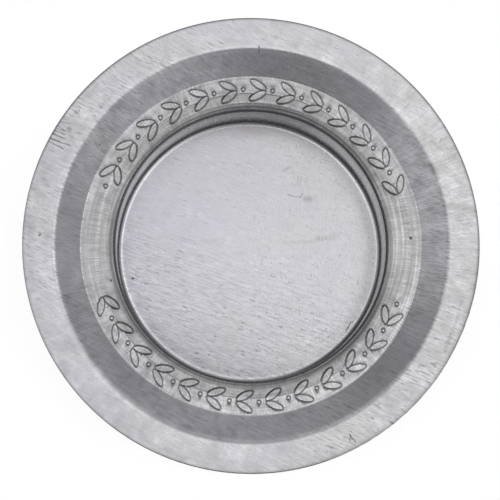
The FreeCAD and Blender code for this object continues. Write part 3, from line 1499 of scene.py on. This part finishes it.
    def _painted_edge_shade(self) -> bpy.types.NodeSocket:
        """How dark painted shade makes the sloping edges of the stamped border."""
        inside = (self.form.well_radius + self.form.mouth_bend) / MM
        outside = (self.form.ring_radius - self.form.foot_bend / 4) / MM
        on_ring = self.between(self.radius, inside, outside, 0.1)
        # Painted shade on the faces that slope away from straight up
        sloping = self.fade(self.facing, *self.finish.edge_shade_fade, 1.0, 0.0)
        return self.product(on_ring, sloping, self.upward, self.finish.edge_shade)

    def _grain(self) -> tuple[bpy.types.NodeSocket, bpy.types.NodeSocket]:
        """The steel's fine lines and mottling.

        Returns:
            The grain as a share of the tone, and the lines' height.
        """
        finish, zones = self.finish, self.zones
        speckle = self.noise(self.place, 4.5)
        mottle = self.noise(self.place, 0.9, detail=1.0)
        cloud = self.noise(self.place, 0.28, detail=1.0)
        fine_spokes = self.spokes(count=125.0, stretch=0.4)
        coarse_spokes = self.spokes(count=42.0, stretch=0.3)
        ticks = self.over(self.spokes(count=90.0, stretch=0.7), 0.5)
        rings = self.spokes(count=2.0, stretch=3.4)
        wide_rings = self.spokes(count=1.5, stretch=1.3)
        rolled = self.lines(finish.rolling, across=2.6, along=0.35)
        fine_rolled = self.lines(finish.rolling, across=4.2, along=0.55)
        cross = self.lines(QUARTER_TURN, across=4.2, along=0.7)
        drawn = self.lines(finish.drawing, across=2.4, along=0.4)
        fine_drawn = self.lines(finish.drawing, across=4.0, along=0.6)
        nicks = self.over(fine_rolled, 0.2)
        cross_nicks = self.over(cross, 0.3)
        drawn_nicks = self.over(fine_drawn, 0.05)
        # Masks of where the lines and nicks show
        ticked = self.fade(wide_rings, -0.4, 0.5, 0.35, 1.6)
        patchy = self.fade(self.total(mottle, cloud), -0.5, 0.6, 0.1, 1.8)
        side = self.calc("ABSOLUTE", self.rightness)
        to_right = self.fade(self.rightness, -1.0, 1.0)
        along_low_left = self.calc_vector("DOT_PRODUCT", self.place, (-0.35, -0.94, 0))
        low_left = self.fade(along_low_left, -3.0, 9.0)
        tilted = self.calc("ABSOLUTE", self.ahead(150))
        plain = self.towards(20, 0.6)
        drawn_share = self.weigh((1.0,), (plain, -0.55))
        worn = self.weigh(
            (self.fade(tilted, 0.5, 1.0), 0.65),
            (self.fade(self.ahead(30), -0.9, 0.3, 0.0, 0.35),),
        )
        # What each zone's grain is made of, with the weight of each
        on_floor = self.weigh(
            (rolled, self.mix(low_left, 0.025, 0.1)),
            (fine_rolled, self.mix(low_left, 0.035, 0.12)),
            (nicks, patchy, self.mix(low_left, -0.16, -0.46)),
            (cross, self.mix(to_right, 0.0, 0.06)),
            (cross_nicks, patchy, self.mix(to_right, -0.05, -0.32)),
            (speckle, 0.02),
            (mottle, 0.03),
            (cloud, 0.03),
        )
        on_ring = self.weigh(
            (fine_spokes, ticked, 0.13),
            (coarse_spokes, 0.05),
            (ticks, ticked, -0.24),
            (rings, 0.14),
            (wide_rings, 0.1),
            (speckle, 0.06),
            (mottle, self.mix(self.stamped, 0.05, 0.13)),
            (cloud, 0.08),
        )
        on_step = self.weigh(
            (fine_spokes, self.fade(side, 0.6, 1.0, 0.03, 0.19)),
            (speckle, 0.03),
            (fine_drawn, 0.16),
            (drawn, 0.11),
            (drawn_nicks, patchy, self.mix(worn, -0.2, -0.5)),
            (mottle, 0.1),
            (cloud, self.fade(side, 0.4, 1.0, 0.1, 0.24)),
        )
        on_flange = self.weigh(
            (fine_spokes, self.fade(side, 0.6, 1.0, 0.01, 0.05)),
            (fine_spokes, plain, 0.06),
            (speckle, self.mix(plain, 0.02, 0.08)),
            (fine_drawn, drawn_share, self.mix(worn, 0.05, 0.1)),
            (drawn, drawn_share, self.mix(worn, 0.04, 0.09)),
            (drawn_nicks, drawn_share, patchy, self.mix(worn, -0.14, -0.46)),
            (mottle, self.mix(worn, 0.07, 0.08)),
            (cloud, 0.1),
        )
        is_ring = self.total(zones["inner_ring"], zones["outer_ring"], zones["mouth"])
        grain = self.weigh(
            (zones["floor"], on_floor),
            (is_ring, on_ring),
            (self.weigh((zones["step"],), (zones["wall"], 0.4)), on_step),
            (zones["flange"], on_flange),
        )
        height = self.weigh(
            (zones["floor"], self.total(rolled, fine_rolled), low_left, 0.7),
            (is_ring, fine_spokes, 0.7),
            (self.total(zones["step"], zones["flange"]), drawn, 0.4),
        )
        return grain, height

    def _marks(self) -> tuple[bpy.types.NodeSocket, bpy.types.NodeSocket, bpy.types.NodeSocket]:
        """The pits, scratches and stains.

        Returns:
            How dark the pits and scratches make the steel, how deep the pits are, and how far
            the steel is stained.
        """
        finish = self.finish
        feeds = {"Vector": self.place, "Scale": finish.waver_count, "Detail": 2.0}
        wave = self.add("ShaderNodeTexNoise", feeds).outputs["Color"]
        centred = self.calc_vector("SUBTRACT", wave, (0.5, 0.5, 0.5))
        wavering = self.calc_vector("ADD", self.place, self.scale(centred, finish.waver))
        sums = {kind: 0.0 for kind in MarkKind}
        for mark in finish.marks:
            place = self.place if mark.kind is MarkKind.PIT else wavering
            sums[mark.kind] = self.total(sums[mark.kind], self.stroke(place, mark))
        pits, scratches, stains = (sums[kind] for kind in MarkKind)
        dark = self.calc("MINIMUM", self.total(pits, scratches), finish.darkest_mark)
        stained = self.product(stains, finish.stain_strength, self.upward)
        return (
            self.product(dark, self.upward),
            self.product(pits, self.upward),
            self.calc("MINIMUM", stained, finish.deepest_stain),
        )

    @staticmethod
    def _polar_group() -> bpy.types.NodeTree:
        """Group that gives the distance, height and direction from the lid's axis."""
        desk = GroupDesk("place_round_axis", ("Place",), ("Radius", "Height", "Spoke"))
        level = desk.calc_vector("MULTIPLY", desk.take("Place"), LEVEL)
        desk.give("Radius", desk.calc_vector("LENGTH", level))
        desk.give("Height", desk.parts(desk.take("Place"))["Z"])
        desk.give("Spoke", desk.calc_vector("NORMALIZE", level))
        return desk.tree

    @staticmethod
    def _band_group() -> bpy.types.NodeTree:
        """Group that masks a narrow band round the lid's axis."""
        takes = ("Radius", "Height", "Spoke", "Middle", "Width", "Towards", "Spread")
        desk = GroupDesk("band_round_axis", takes, ("Mask",))
        at = desk.point(desk.take("Radius"), desk.take("Height"))
        away = desk.calc_vector("DISTANCE", at, desk.take("Middle"))
        across = desk.fade(away, 0.0, desk.take("Width"), 1.0, 0.0)
        ahead = desk.calc_vector("DOT_PRODUCT", desk.take("Spoke"), desk.take("Towards"))
        beyond = desk.calc("SUBTRACT", ahead, desk.take("Spread"))
        desk.give("Mask", desk.product(across, desk.fade(beyond, -BAND_FADE, BAND_FADE)))
        return desk.tree

    @staticmethod
    def _spoke_group() -> bpy.types.NodeTree:
        """Group that draws short lines away from the axis."""
        takes = ("Spoke", "Radius", "Count", "Stretch")
        desk = GroupDesk("lines_from_axis", takes, ("Value",))
        round_axis = desk.scale(desk.take("Spoke"), desk.take("Count"))
        outward = desk.calc("MULTIPLY", desk.take("Radius"), desk.take("Stretch"))
        at = desk.calc_vector("ADD", round_axis, desk.point(z=outward))
        desk.give("Value", desk.noise(at, 1.0))
        return desk.tree

    @staticmethod
    def _line_group() -> bpy.types.NodeTree:
        """Group that draws straight lines across the sheet."""
        desk = GroupDesk("straight_lines", ("Place", "Turn", "Across", "Along"), ("Value",))
        back = desk.calc("MULTIPLY", desk.take("Turn"), -1.0)
        feeds = {"Vector": desk.take("Place"), "Angle": back}
        turned = desk.add("ShaderNodeVectorRotate", feeds, rotation_type="Z_AXIS")
        parts = desk.parts(turned.outputs["Vector"])
        along = desk.calc("MULTIPLY", parts["X"], desk.take("Along"))
        across = desk.calc("MULTIPLY", parts["Y"], desk.take("Across"))
        desk.give("Value", desk.noise(desk.point(along, across), 1.0))
        return desk.tree

    @staticmethod
    def _stroke_group() -> bpy.types.NodeTree:
        """Group that masks one stroke between two points, seen from above."""
        desk = GroupDesk("stroke", ("Place", "Start", "End", "Width", "Soft"), ("Mask",))
        to_place = desk.calc_vector("SUBTRACT", desk.take("Place"), desk.take("Start"))
        from_start = desk.calc_vector("MULTIPLY", to_place, LEVEL)
        run = desk.calc_vector("SUBTRACT", desk.take("End"), desk.take("Start"))
        squared = desk.calc_vector("DOT_PRODUCT", run, run)
        length_squared = desk.calc("MAXIMUM", squared, LEAST_LENGTH_SQUARED)
        along = desk.calc_vector("DOT_PRODUCT", from_start, run)
        share = desk.clamp(desk.calc("DIVIDE", along, length_squared))
        away = desk.calc_vector("DISTANCE", from_start, desk.scale(run, share))
        half = desk.calc("MULTIPLY", desk.take("Width"), 0.5)
        inner = desk.product(half, desk.calc("SUBTRACT", 1.0, desk.take("Soft")))
        outer = desk.product(half, desk.calc("ADD", 1.0, desk.take("Soft")))
        desk.give("Mask", desk.fade(away, inner, outer, 1.0, 0.0))
        return desk.tree


def main() -> None:
    """Builds the lid and the studio, and reports each piece."""
    low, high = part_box(LID_NODE)
    form = SheetForm(
        rim_radius=(high.x - low.x) / 2 - BOX_MARGIN,
        overall_height=high.z,
        well_radius=mount_radius(WELL_MOUNT),
    )
    pressing = PressedSheet(form)
    sheet = pressing.build()
    border = StampedBorder(form.ring_height).build()
    pressing.stamp(sheet, border)
    pressing.wear(sheet)
    pressing.smooth(sheet)
    sheet.name = "candle_lid_sheet"
    sheet.data.materials.clear()
    sheet.data.materials.append(SteelFinish(form).build())
    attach(sheet, BODY)
    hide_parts(LID_NODE)
    Studio().build()
    PhotoCamera().build(form)
    bpy.context.scene.view_settings.view_transform = "Standard"


if __name__ == "__main__":
    logging.basicConfig(level=logging.INFO, format="%(name)s: %(message)s")
    main()
